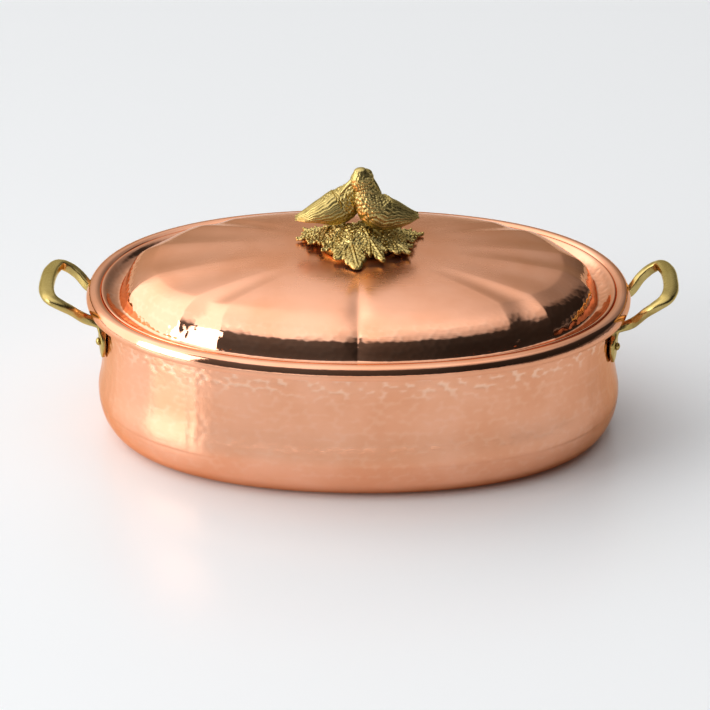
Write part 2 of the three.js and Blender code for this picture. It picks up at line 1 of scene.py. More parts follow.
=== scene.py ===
# Hammered copper roasting pan with its ridged lid, brass handles and bird finial.
import math
import bmesh
import bpy
import numpy as np
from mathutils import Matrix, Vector

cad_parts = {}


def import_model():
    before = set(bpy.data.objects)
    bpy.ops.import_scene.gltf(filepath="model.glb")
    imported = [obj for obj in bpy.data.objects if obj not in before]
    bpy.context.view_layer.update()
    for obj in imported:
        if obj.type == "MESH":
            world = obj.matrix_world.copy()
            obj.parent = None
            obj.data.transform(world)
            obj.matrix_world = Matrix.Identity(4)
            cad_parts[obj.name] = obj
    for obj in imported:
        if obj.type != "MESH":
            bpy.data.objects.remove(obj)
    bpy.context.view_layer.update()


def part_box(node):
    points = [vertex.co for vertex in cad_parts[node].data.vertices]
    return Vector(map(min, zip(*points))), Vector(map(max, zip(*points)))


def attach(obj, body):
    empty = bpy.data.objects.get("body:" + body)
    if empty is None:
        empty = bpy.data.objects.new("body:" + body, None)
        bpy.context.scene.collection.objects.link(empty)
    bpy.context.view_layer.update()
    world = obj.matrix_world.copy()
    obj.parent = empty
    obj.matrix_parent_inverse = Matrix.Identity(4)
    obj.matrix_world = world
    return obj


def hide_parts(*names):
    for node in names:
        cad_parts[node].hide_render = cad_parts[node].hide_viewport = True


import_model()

mm = 0.001


# sizes read from the frame, in millimetres like everything below
def boxOf(node):
    low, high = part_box(node)
    return np.array(low) / mm, np.array(high) / mm


rimLength, rimWidth = boxOf("pan_body")[1][:2]
domeHeight = boxOf("lid_shell")[1][2]
bedTop = boxOf("leaf_bed")[1][2]


# shader maths written as plain expressions
class Wire:
    def __init__(self, graph, socket):
        self.graph = graph
        self.socket = socket

    def maths(self, operation, first, second=0.0):
        return self.graph.node("ShaderNodeMath", {"operation": operation}, {0: first, 1: second})

    def __add__(self, other):
        return self.maths("ADD", self, other)

    __radd__ = __add__

    def __sub__(self, other):
        return self.maths("SUBTRACT", self, other)

    def __rsub__(self, other):
        return self.maths("SUBTRACT", other, self)

    def __mul__(self, other):
        return self.maths("MULTIPLY", self, other)

    __rmul__ = __mul__

    def __truediv__(self, other):
        return self.maths("DIVIDE", self, other)

    def __rtruediv__(self, other):
        return self.maths("DIVIDE", other, self)

    def __pow__(self, other):
        return self.maths("POWER", self, other)

    def __rpow__(self, other):
        return self.maths("POWER", other, self)


# a node tree that hands out wires
class Graph:
    def __init__(self, tree):
        self.tree = tree
        tree.nodes.clear()

    # a node of any kind: its settings first, then the values or links of its sockets
    def node(self, kind, settings=None, values=None, output=0):
        made = self.tree.nodes.new(kind)
        for key, value in (settings or {}).items():
            setattr(made, key, value)
        for key, value in (values or {}).items():
            if isinstance(value, Wire):
                self.tree.links.new(value.socket, made.inputs[key])
            else:
                made.inputs[key].default_value = value
        return Wire(self, made.outputs[output]) if made.outputs else None

    # eases from 0 to 1 while the value runs from low to high
    def ease(self, value, low, high):
        settings = {"interpolation_type": "SMOOTHSTEP"}
        return self.node("ShaderNodeMapRange", settings, {"Value": value, "From Min": low, "From Max": high})

    def noise(self, vector, scale, detail=2.0, roughness=0.5):
        values = {"Vector": vector, "Scale": scale, "Detail": detail, "Roughness": roughness}
        return self.node("ShaderNodeTexNoise", {}, values)

    def blend(self, factor, first, second):
        return self.node("ShaderNodeMix", {"data_type": "RGBA"}, {0: factor, 6: first, 7: second}, 2)

    def stretched(self, vector, stretch):
        return self.node("ShaderNodeVectorMath", {"operation": "MULTIPLY"}, {0: vector, 1: stretch})

    def bump(self, strength, distance, height):
        return self.node("ShaderNodeBump", {}, {"Strength": strength, "Distance": distance, "Height": height})

    # place on the piece, in metres
    def place(self):
        return self.node("ShaderNodeTexCoord", {}, {}, 3)

    # share of painted light that a mesh point asks for: a painted highlight on copper crests between hammer marks,
    # painted shade in brass recesses
    def accent(self):
        return self.node("ShaderNodeAttribute", {"attribute_name": "accent"}, {}, 2)


def newFinish(name):
    material = bpy.data.materials.new(name)
    material.use_nodes = True
    return material, Graph(material.node_tree)


def finishSurface(graph, values):
    shader = graph.node("ShaderNodeBsdfPrincipled", {}, values)
    graph.node("ShaderNodeOutputMaterial", {}, {"Surface": shader})


def rgba(red, green, blue):
    return (red, green, blue, 1.0)


# copper: satin or polished, and paler on the crests between hammer marks, a painted highlight;
# "Ends" are the two values between which something eases in, here and below
copperLook = {
    # the crest colour is the painted highlight on the crests between hammer marks
    "crest": rgba(1.0, 0.62, 0.43),
    "pale": rgba(0.945, 0.475, 0.3),
    "deep": rgba(0.86, 0.385, 0.215),
    "edge": rgba(0.91, 0.68, 0.5),
    "mottle": 26.0, "cloud": 6.5, "cloudShare": 0.4, "patchEnds": (0.35, 0.68),
    "smudge": 57.2, "smudgeEnds": (0.35, 0.75), "smudgeDulling": 0.07,
    "brushed": 900.0, "brushedDulling": 0.05, "detail": 3.0, "bump": 0.0002,
}
# the pan is polished above its wall, the lid below its dome
panPolish = {
    "satin": 0.13, "polished": 0.08, "heightEnds": (0.0885, 0.0905), "stretch": (0.25, 0.25, 1.0), "grain": 0.2,
}
domePolish = {
    "satin": 0.26, "polished": 0.05, "heightEnds": (0.127, 0.109), "stretch": (0.05, 1.0, 1.0), "grain": 0.14,
}


def copperFinish(name, polish):
    s = copperLook
    material, graph = newFinish(name)
    place = graph.place()
    height = graph.node("ShaderNodeSeparateXYZ", {}, {0: place}, 2)
    mottle = graph.noise(place, s["mottle"], s["detail"]) * (1 - s["cloudShare"])
    patches = graph.ease(mottle + graph.noise(place, s["cloud"]) * s["cloudShare"], *s["patchEnds"])
    brushed = graph.noise(graph.stretched(place, polish["stretch"]), s["brushed"])
    smudge = graph.ease(graph.noise(place, s["smudge"], s["detail"]), *s["smudgeEnds"])
    dull = polish["satin"] + s["smudgeDulling"] * smudge + s["brushedDulling"] * (brushed - 0.5)
    # the base colour turns paler where the mesh asks for the painted crest highlight
    finishSurface(graph, {
        "Metallic": 1.0,
        "Specular Tint": s["edge"],
        "Base Color": graph.blend(graph.accent(), graph.blend(patches, s["pale"], s["deep"]), s["crest"]),
        "Roughness": dull + (polish["polished"] - dull) * graph.ease(height, *polish["heightEnds"]),
        "Normal": graph.bump(polish["grain"], s["bump"], brushed),
    })
    return material


brassLook = {
    "pale": rgba(0.58, 0.44, 0.165),
    "deep": rgba(0.48, 0.35, 0.115),
    # the recess colour is painted shade for the hollows
    "recessShade": rgba(0.15, 0.105, 0.03),
    "edge": rgba(0.95, 0.85, 0.55),
    "tint": 60.0, "tintEnds": (0.3, 0.7), "recessDulling": 0.2,
    "pits": 1400.0, "pitRoughness": 0.6, "pitEnds": (0.4, 0.75), "pitDulling": 0.14,
    "detail": 3.0, "bump": 0.0002,
}


def brassFinish(name, satin, pitting):
    s = brassLook
    material, graph = newFinish(name)
    place = graph.place()
    # painted shade: the colour turns to the dark recess colour where the mesh lies in a recess
    recessShade = graph.accent()
    tint = graph.ease(graph.noise(place, s["tint"], s["detail"]), *s["tintEnds"])
    pits = graph.noise(place, s["pits"], s["detail"], s["pitRoughness"])
    dull = s["recessDulling"] * recessShade + s["pitDulling"] * graph.ease(pits, *s["pitEnds"])
    finishSurface(graph, {
        "Metallic": 1.0,
        "Specular Tint": s["edge"],
        "Base Color": graph.blend(recessShade, graph.blend(tint, s["pale"], s["deep"]), s["recessShade"]),
        "Roughness": satin + dull,
        "Normal": graph.bump(pitting, s["bump"], pits),
    })
    return material


tinLook = {
    "pale": rgba(0.62, 0.61, 0.58),
    "deep": rgba(0.50, 0.49, 0.46),
    "satin": 0.3, "wipeDulling": 0.16, "wipeEnds": (0.3, 0.7), "fineDulling": 0.05,
    "fineShare": 0.3, "grain": 0.15, "bump": 0.0004,
    "skin": (0.06, 0.8),
}


def tinFinish(name):
    s = tinLook
    material, graph = newFinish(name)
    place = graph.place()
    wipe = graph.noise(graph.stretched(place, (1.0, 2.5, 1.0)), 22.0, 4.0, 0.6)
    fine = graph.noise(graph.stretched(place, (1.0, 6.0, 1.0)), 260.0)
    wiped = graph.ease(wipe, *s["wipeEnds"])
    finishSurface(graph, {
        "Metallic": 1.0,
        "Base Color": graph.blend(wiped, s["pale"], s["deep"]),
        "Roughness": s["satin"] + s["wipeDulling"] * wiped + s["fineDulling"] * fine,
        "Normal": graph.bump(s["grain"], s["bump"], wipe + fine * s["fineShare"]),
    })
    return material


hammeredCopper = copperFinish("hammered_copper", panPolish)
domeCopper = copperFinish("dome_copper", domePolish)
handleBrass = brassFinish("handle_brass", satin=0.2, pitting=0.1)
finialBrass = brassFinish("finial_brass", satin=0.26, pitting=0.45)
wipedTin = tinFinish("wiped_tin")
print("finishes made")


def addObject(name, data):
    made = bpy.data.objects.new(name, data)
    bpy.context.scene.collection.objects.link(made)
    return made


# a smooth mesh object from points in millimetres
def makePiece(name, points, faces, finish, paintedLightShares=None):
    mesh = bpy.data.meshes.new(name)
    mesh.from_pydata((np.asarray(points) * mm).tolist(), [], [list(map(int, face)) for face in faces])
    mesh.update()
    mesh.polygons.foreach_set("use_smooth", np.ones(len(mesh.polygons), dtype=bool))
    layer = mesh.attributes.new("accent", "FLOAT", "POINT")
    if paintedLightShares is not None:
        layer.data.foreach_set("value", np.clip(np.asarray(paintedLightShares, dtype=np.float32), 0, 1))
    mesh.materials.append(finish)
    piece = addObject(name, mesh)
    work = bmesh.new()
    work.from_mesh(mesh)
    bmesh.ops.recalc_face_normals(work, faces=work.faces)
    work.to_mesh(mesh)
    work.free()
    return piece


# quads over a grid of rows and columns, closed round the columns
def gridFaces(rows, columns):
    row = np.arange(rows - 1)[:, None]
    column = np.arange(columns)[None, :]
    after = (column + 1) % columns
    low = row * columns
    high = low + columns
    corners = [low + column, low + after, high + after, high + column]
    return np.stack(np.broadcast_arrays(*corners), -1).reshape(-1, 4).tolist()


# a grid whose last row joins its first
def loopFaces(rows, columns):
    ring = np.arange(columns)
    after = (ring + 1) % columns
    last = (rows - 1) * columns
    return gridFaces(rows, columns) + np.stack([last + ring, last + after, after, ring], -1).tolist()


def fan(centre, ring, flip=False):
    faces = [[centre, ring[index], ring[(index + 1) % len(ring)]] for index in range(len(ring))]
    return [face[::-1] for face in faces] if flip else faces


# a grid whose first and last row each close on one more point
def cappedFaces(rows, columns):
    first, last = list(range(columns)), list(range((rows - 1) * columns, rows * columns))
    return gridFaces(rows, columns) + fan(rows * columns, first, True) + fan(rows * columns + 1, last)


def smoothstep(value, low, high):
    share = np.clip((value - low) / (high - low), 0, 1)
    return share * share * (3 - 2 * share)


def unit(vectors):
    return vectors / np.linalg.norm(vectors, axis=-1, keepdims=True)


def circle(sides):
    return np.linspace(0, 2 * np.pi, sides, endpoint=False)


def lengthAlong(path):
    return np.concatenate([[0], np.cumsum(np.linalg.norm(np.diff(path, axis=0), axis=1))])


# level rings of points
def roundRings(radius, heights, sides):
    turn = circle(sides)
    return np.stack(np.broadcast_arrays(radius * np.cos(turn), radius * np.sin(turn), heights[:, None]), -1)


# rings of points carried along a path
def sweep(spot, beside, over, wide, high):
    return spot[:, None] + beside[:, None] * wide[..., None] + over[:, None] * high[..., None]


# the oval: insets are measured in from the lip's edge, as on a section across the pan
domeTopInset = 45.0
ovalFullness = 0.03


# the way straight out of the oval at an angle
def ovalNormal(angle):
    full = 1 + ovalFullness * np.sin(2 * angle) ** 2
    change = 2 * ovalFullness * np.sin(4 * angle)
    alongX = rimWidth * (np.cos(angle) * full + np.sin(angle) * change)
    alongY = rimLength * (np.sin(angle) * full - np.cos(angle) * change)
    length = np.hypot(alongX, alongY)
    return alongX / length, alongY / length


def ovalPlace(angle, radius):
    middle = rimWidth - domeTopInset
    inset = rimWidth - np.maximum(radius, middle)
    share = np.minimum(radius / middle, 1.0)
    full = 1 + ovalFullness * np.sin(2 * angle) ** 2
    outX, outY = ovalNormal(angle)
    x = (rimLength * full * np.cos(angle) - inset * outX) * share
    y = (rimWidth * full * np.sin(angle) - inset * outY) * share
    return x, y


# length along the oval at each angle, which spaces the hammer marks evenly
def lengthAround(angles, inset):
    dense = np.linspace(0, 2 * np.pi, 7201)
    x, y = ovalPlace(dense, np.full_like(dense, rimWidth - inset))
    length = lengthAlong(np.stack([x, y], -1))
    return np.interp(np.mod(angles, 2 * np.pi), dense, length), length[-1]


hammerLook = {"rows": 400, "weights": (0.7, 1.3), "sharpness": 9.0, "middle": 0.25}


# rows of hammer marks: 0 in the middle of a mark, rising to crests between marks
def hammerMarks(around, along, total, pitchAround, pitchAlong, seed, scatter=0.28):
    rows, sharpness = hammerLook["rows"], hammerLook["sharpness"]
    count = int(round(total / pitchAround))
    source = np.random.default_rng(seed)
    shiftAround = source.uniform(-scatter, scatter, (rows, count))
    shiftAlong = source.uniform(-scatter, scatter, (rows, count))
    weight = source.uniform(*hammerLook["weights"], (rows, count))
    across = around / total * count
    down = along / pitchAlong
    row = np.floor(down).astype(int)
    heap = np.zeros(np.broadcast(across, down).shape)
    for below in (-1, 0, 1):
        line = (row + below) % rows
        stagger = 0.5 * (line % 2)
        column = np.floor(across - stagger).astype(int)
        for beside in (-1, 0, 1):
            mark = (column + beside) % count
            offAcross = across - stagger - (column + beside) - 0.5 - shiftAround[line, mark]
            offDown = down - (row + below) - 0.5 - shiftAlong[line, mark]
            heap += np.exp(-sharpness * (offAcross * offAcross + offDown * offDown) * weight[line, mark])
    return -np.log(heap + 1e-9) / sharpness


def resample(path, step):
    path = np.asarray(path, dtype=float)
    length = lengthAlong(path)
    spots = np.linspace(0, length[-1], max(int(length[-1] / step), 2) + 1)
    return np.stack([np.interp(spots, length, path[:, 0]), np.interp(spots, length, path[:, 1])], -1)


def pathNormals(path):
    ahead = np.gradient(path, axis=0)
    return unit(np.stack([-ahead[:, 1], ahead[:, 0]], -1))


def arc(centre, reach, rise, start, end, steps):
    angle = np.radians(np.linspace(start, end, steps + 1)[1:])
    return np.stack([centre[0] + reach * np.cos(angle), centre[1] + rise * np.sin(angle)], -1)


# cuts the corners of a path again and again
def roundedPath(points, times=3):
    path = np.asarray(points, dtype=float)
    for _ in range(times):
        first, last = path[:1], path[-1:]
        quarter = path[:-1] * 0.75 + path[1:] * 0.25
        threeQuarters = path[:-1] * 0.25 + path[1:] * 0.75
        path = np.concatenate([first, np.stack([quarter, threeQuarters], 1).reshape(-1, 2), last])
    return path


def atInset(inset, height):
    return (rimWidth - inset, height)


# the section of a tin skin that lies on one side of a sheet bent along a path
def tinSection(path, sheet, side):
    near, far = (path + pathNormals(path) * side * (sheet + off) for off in tinLook["skin"])
    return np.concatenate([near, far[::-1]])


# carries a section round the oval: a closed one makes a ring, an open one ends in two poles
def ovalPiece(name, section, columns, finish, relief=None, lobes=False, closed=False):
    used = slice(None) if closed else slice(1, -1)
    body, normals = section[used], pathNormals(section)[used]
    angle = np.repeat(circle(columns)[None, :], len(body), 0)
    radius, height = body[:, :1] + 0 * angle, body[:, 1:] + 0 * angle
    crestHighlight = np.zeros(angle.shape)
    if relief is not None:
        depth, crestHighlight = relief(angle, body)
        radius = radius + depth * normals[:, :1]
        height = height + depth * normals[:, 1:]
    if lobes:
        outward, upward = lobeShift(angle, radius)
        radius = radius + outward
        height = height + upward
    x, y = ovalPlace(angle, radius)
    points = np.stack([x, y, height], -1).reshape(-1, 3)
    crestHighlight = crestHighlight.reshape(-1)
    if closed:
        return makePiece(name, points, loopFaces(len(body), columns), finish, crestHighlight)
    points = np.concatenate([points, [[0, 0, section[0][1]], [0, 0, section[-1][1]]]])
    crestHighlight = np.concatenate([crestHighlight, [0, 0]])
    return makePiece(name, points, cappedFaces(len(body), columns), finish, crestHighlight)


# the pan's wall and rolled lip, as sheet metal bent along one path
panShape = {
    "height": 100.6, "sheet": 1.6, "columns": 900, "step": 1.0, "insideStep": 6,
    "cornerReach": 18.0, "bellyInset": 6.0, "bellyHeight": 27.0, "waist": (8.9, 44.0), "footLine": (10.0, 56.0),
    "neckInset": 11.5, "neckHeight": 83.0, "rollStart": 89.0, "crestInset": 6.0, "fineAbove": 84.0,
    "lip": [(2.9, 0.2), (1.8, 0.8), (0.9, 2.3), (0.1, 4.2), (0.0, 5.6), (0.5, 7.1)],
    "edgeDrop": 0.15,
    "tinTop": 87.0, "tinStep": 2.0, "tinColumns": 300,
    "markAround": 6.2, "markAlong": 4.2, "markDepth": 0.8, "faintDepth": 0.2, "markSeed": 3,
    "rippleDepth": 0.09, "neckCalm": 0.7,
    "wallEnds": (5, 22), "rollEnds": (86, 90), "neckEnds": (69, 80),
    # painted highlight on the crests between hammer marks, strongest at the neck
    "highlightEnds": (0.17, 0.34), "faintHighlight": 0.2, "neckHighlight": 0.6,
}


def panWallPath():
    s = panShape
    corner = atInset(s["bellyInset"] + s["cornerReach"], s["bellyHeight"])
    wall = roundedPath([
        atInset(s["bellyInset"], s["bellyHeight"] - 3),
        atInset(s["bellyInset"], s["bellyHeight"] + 4),
        atInset(*s["waist"]),
        atInset(*s["footLine"]),
        atInset(s["neckInset"], s["neckHeight"]),
        atInset(s["neckInset"], s["rollStart"]),
    ])
    cornerArc = arc(corner, s["cornerReach"], s["bellyHeight"], -90, -4, 22)
    return np.concatenate([[(0, 0), (corner[0] * 0.5, 0), (corner[0], 0)], cornerArc, wall[3:]])


def panRollPath():
    s = panShape
    crest = s["height"] - s["sheet"]
    centre = atInset(s["crestInset"], s["rollStart"])
    inner = arc(centre, s["crestInset"] - s["neckInset"], crest - s["rollStart"], 0, 90, 12)
    lip = [atInset(s["sheet"] + inset, crest - drop) for inset, drop in s["lip"]]
    outer = roundedPath([atInset(s["crestInset"], crest)] + lip)
    return np.concatenate([inner, outer[1:]])


rippleLook = {
    "counts": (31, 43, 59, 71, 97, 113, 149), "seed": 11, "drift": 1.6, "sway": 17.0,
    "strongest": 40, "falloff": 0.7, "total": 2.2,
}


# long upright ripples left by the planishing hammer
def upright(angle, height):
    s = rippleLook
    around, total = lengthAround(angle, panShape["bellyInset"])
    source = np.random.default_rng(s["seed"])
    ripples = np.zeros(np.broadcast(around, height).shape)
    for count in s["counts"]:
        phase, drift = source.uniform(0, 2 * np.pi), source.uniform(-s["drift"], s["drift"])
        sway = drift * np.sin(height / s["sway"] + source.uniform(0, 6))
        strength = (s["strongest"] / count) ** s["falloff"]
        ripples += np.sin(around / total * count * 2 * np.pi + phase + sway) * strength
    return ripples / s["total"]


# hammer marks over a section, and which points come before its highest or widest one
def sheetMarks(s, angle, body, inset, axis):
    around, total = lengthAround(angle, inset)
    along = lengthAlong(body)[:, None] + 0 * angle
    marks = hammerMarks(around, along, total, s["markAround"], s["markAlong"], s["markSeed"])
    return marks, (np.arange(len(body)) < np.argmax(body[:, axis]))[:, None]


# how far the copper is moved at each point, and how much painted highlight the point gets on a crest between marks
def panRelief(angle, body):
    s = panShape
    marks, outside = sheetMarks(s, angle, body, s["bellyInset"], 1)
    height = body[:, 1:]
    wall = smoothstep(height, *s["wallEnds"]) * (1 - smoothstep(height, *s["rollEnds"])) * outside
    neck = smoothstep(height, *s["neckEnds"])
    depth = s["faintDepth"] + (s["markDepth"] - s["faintDepth"]) * neck
    ripples = s["rippleDepth"] * upright(angle, height) * (1 - neck * s["neckCalm"])
    relief = depth * (marks - hammerLook["middle"]) + ripples
    crestHighlight = smoothstep(marks, *s["highlightEnds"]) * (s["faintHighlight"] + s["neckHighlight"] * neck)
    return relief * wall, crestHighlight * wall


def makePan():
    s = panShape
    outer = np.concatenate([resample(panWallPath(), s["step"]), panRollPath()])
    inner = outer + pathNormals(outer) * s["sheet"]
    rollTop = inner[outer[:, 1] > s["fineAbove"]][::-1]
    below = inner[: len(inner) - len(rollTop)][::-s["insideStep"]]
    edge = (outer[-1:] + inner[-1:]) / 2 - (0, s["edgeDrop"])
    section = np.concatenate([outer, edge, rollTop, below, inner[:1]])
    section[-1, 0] = 0
    body = ovalPiece("pan_copper", section, s["columns"], hammeredCopper, panRelief)
    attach(body, "pan")
    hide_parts("pan_body")

    path = panWallPath()
    skin = tinSection(resample(path[path[:, 1] <= s["tinTop"]], s["tinStep"]), s["sheet"], 1)
    skin[0, 0] = skin[-1, 0] = 0
    tin = ovalPiece("pan_tin", skin, s["tinColumns"], wipedTin)
    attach(tin, "pan")
    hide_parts("pan_lining")
    print("pan made")


makePan()

# the lid: brim, steep hammered wall and a dome with ridges, hollow flutes and a groove at front and back
lidShape = {
    "sheet": 1.2, "columns": 1080, "step": 0.9, "underStep": 4,
    "brimInset": 10.3, "brimLand": 1.8, "brimFall": 5.5, "footInset": 21.8, "wallRise": 13.0,
    "shoulderInset": 29.0, "domeRise": 33.1, "domeTopRise": 22.7, "crownPower": 2.4,
    "swell": 2.8, "middleShare": 0.7, "fadeRadius": 34.0, "wallBand": (22, 4),
    "groove": 0.65, "grooveReach": 2.6, "grooveBluntness": (1.6, 0.6),
    "ridges": [0, 36.4, 49.4, 79.4, 100.6, 131, 144, 180, 212.5, 224.4, 252.6, 287.4, 315.6, 327.5],
    "fluteDepth": 0.62, "fluteBluntness": (1.5, 0.5),
    "tinInset": 24, "tinStep": 3, "tinColumns": 360,
    "markAround": 4.8, "markAlong": 3.7, "markDepth": 0.3, "faintMarks": 0.06, "markSeed": 8,
    # crest: strength of the painted highlight on the crests between marks
    "markBand": (12, 1), "brimBand": (5, 1), "crest": 0.2, "highlightEnds": (0.15, 0.32),
}


# 1 on a ridge and 0 in the groove at the front and back; between two ridges lies a hollow flute
def lobeShare(angle, wallness):
    s = lidShape
    degrees = np.mod(np.degrees(angle) + 90 - s["groove"], 360)
    fromGroove = np.minimum(np.mod(degrees, 180), 180 - np.mod(degrees, 180))
    onDome, lessOnWall = s["grooveBluntness"]
    groove = np.exp(-((fromGroove / s["grooveReach"]) ** (onDome - lessOnWall * wallness)))
    ends = np.array(s["ridges"] + [360])
    lobe = np.clip(np.searchsorted(ends, degrees, side="right") - 1, 0, len(ends) - 2)
    across = (degrees - ends[lobe]) / (ends[lobe + 1] - ends[lobe])
    fluted = (np.mod(ends[lobe], 180) > 0) & (np.mod(ends[lobe + 1], 180) > 0)
    onDome, lessOnWall = s["fluteBluntness"]
    flute = np.abs(np.sin(np.pi * across)) ** (onDome - lessOnWall * wallness)
    return 1 - groove - s["fluteDepth"] * flute * fluted


def lobeShift(angle, radius):
    s = lidShape
    shoulder = rimWidth - s["shoulderInset"]
    foot = rimWidth - s["footInset"]
    rimFade = 1 - smoothstep(radius, shoulder, foot + (foot - shoulder))
    middleFade = smoothstep(radius, s["fadeRadius"], shoulder)
    first, last = s["wallBand"]
    wallness = smoothstep(radius, shoulder - first, shoulder + last)
    swell = s["swell"] * (lobeShare(angle, wallness) - s["middleShare"]) * middleFade * rimFade
    return swell * middleFade, swell * (1 - middleFade / 2)


def lidTopPath():
    s = lidShape
    foot = domeHeight - s["domeRise"]
    crown = s["domeRise"] - s["domeTopRise"]
    middle = rimWidth - domeTopInset
    crownLine = [(share * middle, domeHeight - crown * share ** s["crownPower"])
                 for share in np.linspace(0.04, 1, 12)]
    reach = domeTopInset - s["shoulderInset"]
    rise = s["domeTopRise"] - s["wallRise"]
    shoulder = foot + s["wallRise"]
    return roundedPath(crownLine + [
        atInset(s["shoulderInset"] + reach * 0.55, shoulder + rise * 0.68),
        atInset(s["shoulderInset"] + reach * 0.25, shoulder + rise * 0.4),
        atInset(s["shoulderInset"] - 0.4, shoulder - 0.1),
        atInset(s["footInset"] + 3.8, foot + s["wallRise"] * 0.64),
        atInset(s["footInset"] + 1.9, foot + s["wallRise"] * 0.31),
        atInset(s["footInset"] + 0.2, foot + 0.2),
        atInset(s["footInset"] - 1.2, foot),
        atInset(s["brimInset"] + 5.6, foot + s["brimFall"] * 0.3),
        atInset(s["brimInset"] + s["brimLand"], foot + s["brimFall"] - 0.2),
        atInset(s["brimInset"], foot + s["brimFall"]),
    ])


def lidRelief(angle, body):
    s = lidShape
    marks, outside = sheetMarks(s, angle, body, s["shoulderInset"], 0)
    radius = body[:, :1]
    shoulder, brim = rimWidth - s["shoulderInset"], rimWidth - s["brimInset"]
    first, last = s["markBand"]
    wall = smoothstep(radius, shoulder - first, shoulder + last)
    first, last = s["brimBand"]
    fade = outside * (1 - smoothstep(radius, brim - first, brim - last))
    strength = (s["faintMarks"] + (1 - s["faintMarks"]) * wall) * fade
    relief = s["markDepth"] * strength * (marks - hammerLook["middle"])
    # the second value is the painted highlight on the crests between marks
    return relief, s["crest"] * strength * smoothstep(marks, *s["highlightEnds"])


def makeLid():
    s = lidShape
    top = resample(lidTopPath(), s["step"])
    under = top - pathNormals(top) * s["sheet"]
    section = np.concatenate([top, under[::-s["underStep"]]])
    shell = ovalPiece("lid_copper", section, s["columns"], domeCopper, lidRelief, lobes=True, closed=True)
    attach(shell, "lid")
    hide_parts("lid_shell")

    path = top[(top[:, 0] < rimWidth - s["tinInset"])][::s["tinStep"]]
    skin = tinSection(path, s["sheet"], -1)
    tin = ovalPiece("lid_tin", skin, s["tinColumns"], wipedTin, lobes=True, closed=True)
    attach(tin, "lid")
    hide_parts("lid_lining")
    print("lid made")


makeLid()


# gathers closed shells that belong to one casting
class Casting:
    def __init__(self):
        self.points = []
        self.faces = []
        self.count = 0

    def add(self, points, faces):
        self.points.append(np.asarray(points, dtype=float))
        self.faces.extend([[corner + self.count for corner in face] for face in faces])
        self.count += len(points)

    # rings of equal size, closed at both ends
    def addRings(self, rings):
        rings = np.asarray(rings, dtype=float)
        count, sides, _ = rings.shape
        ends = np.array([rings[0].mean(0), rings[-1].mean(0)])
        self.add(np.concatenate([rings.reshape(-1, 3), ends]), cappedFaces(count, sides))

    def addBead(self, centre, radius, stretch=(1, 1, 1), sides=16, rows=9):
        polar = np.linspace(0.12, np.pi - 0.12, rows)[:, None]
        turn = circle(sides)[None, :]
        ball = [np.sin(polar) * np.cos(turn), np.sin(polar) * np.sin(turn), np.cos(polar)]
        ball = np.stack(np.broadcast_arrays(*ball), -1)
        self.addRings(np.array(centre) + ball * radius * np.array(stretch))

    # the piece, with painted shade darkening its recesses
    def finish(self, name, finish, recessDepth):
        piece = makePiece(name, np.concatenate(self.points), self.faces, finish)
        paintRecessShade(piece.data, recessDepth)
        return piece


def meshValues(items, key, width, kind):
    values = np.zeros(len(items) * width, dtype=kind)
    items.foreach_get(key, values)
    return values.reshape(-1, width)


# writes how deep in a recess each point lies, which darkens the brass there as painted shade
def paintRecessShade(mesh, deepest, passes=(3, 14)):
    count = len(mesh.vertices)
    place = meshValues(mesh.vertices, "co", 3, float) / mm
    normal = meshValues(mesh.vertices, "normal", 3, np.float32)
    edges = meshValues(mesh.edges, "vertices", 2, np.int32)
    degree = np.bincount(edges.ravel(), minlength=count)[:, None]
    smooth = place.copy()
    recessShade = np.zeros(count)
    step = 0
    for until in passes:
        while step < until:
            total = np.zeros_like(smooth)
            for axis in range(3):
                total[:, axis] = (np.bincount(edges[:, 0], smooth[edges[:, 1], axis], count)
                                  + np.bincount(edges[:, 1], smooth[edges[:, 0], axis], count))
            smooth = 0.5 * smooth + 0.5 * total / degree
            step += 1
        recessShade = np.maximum(recessShade, np.einsum("ij,ij->i", smooth - place, normal) / deepest)
    mesh.attributes["accent"].data.foreach_set("value", np.clip(recessShade, 0, 1).astype(np.float32))


# a smooth run through stops, spaced by the root of the distance between them
def smoothRun(stops, times):
    stops = np.asarray(stops, dtype=float)
    gaps = np.linalg.norm(np.diff(stops[:, :3], axis=0), axis=1) ** 0.5
    knots = np.concatenate([[0], np.cumsum(gaps)])
    slope = np.gradient(stops, knots, axis=0)
    spots = np.linspace(0, knots[-1], times)
    index = np.clip(np.searchsorted(knots, spots, side="right") - 1, 0, len(stops) - 2)
    gap = (knots[index + 1] - knots[index])[:, None]
    t = (spots - knots[index])[:, None] / gap
    return (stops[index] * (1 + 2 * t) * (1 - t) ** 2 + slope[index] * gap * t * (1 - t) ** 2
            + stops[index + 1] * t * t * (3 - 2 * t) + slope[index + 1] * gap * t * t * (t - 1))


# the handles: a stop of a foot starts with its height, a stop of the grip with its reach, place and rise;
# both end in half a width and half a thickness
handleLook = {
    "footDegrees": 12.0, "wallHeights": (56.0, 83.0), "wallInsets": (10.0, 11.5), "rivet": 68.5, "seat": 0.4,
    "lipHeight": 84.9, "gripX": 207.0, "rise": {"right_handle": 20.4, "left_handle": 16.4},
    "foot": [
        (58.0, 3.4, 1.1), (59.6, 4.6, 1.25), (64.3, 7.9, 1.5), (69.0, 8.5, 1.7),
        (73.0, 7.6, 1.9), (76.8, 5.6, 2.5), (80.4, 4.0, 3.1),
    ],
    "grip": [
        (0, 24.1, 0, 3.3, 3.2), (0.31, 28.3, 0.46, 3.3, 3.2), (0.55, 30.0, 0.72, 3.8, 3.2),
        (0.8, 28.1, 0.92, 4.4, 3.2), (0.95, 18.1, 0.98, 5.0, 3.2), (1, 0, 1, 5.0, 3.2),
    ],
    "stations": 170, "sides": 44, "footEnds": (0.2, 0.35),
    "flat": 0.42, "flatSide": 0.5, "round": 0.95, "recessShade": 0.6,
}


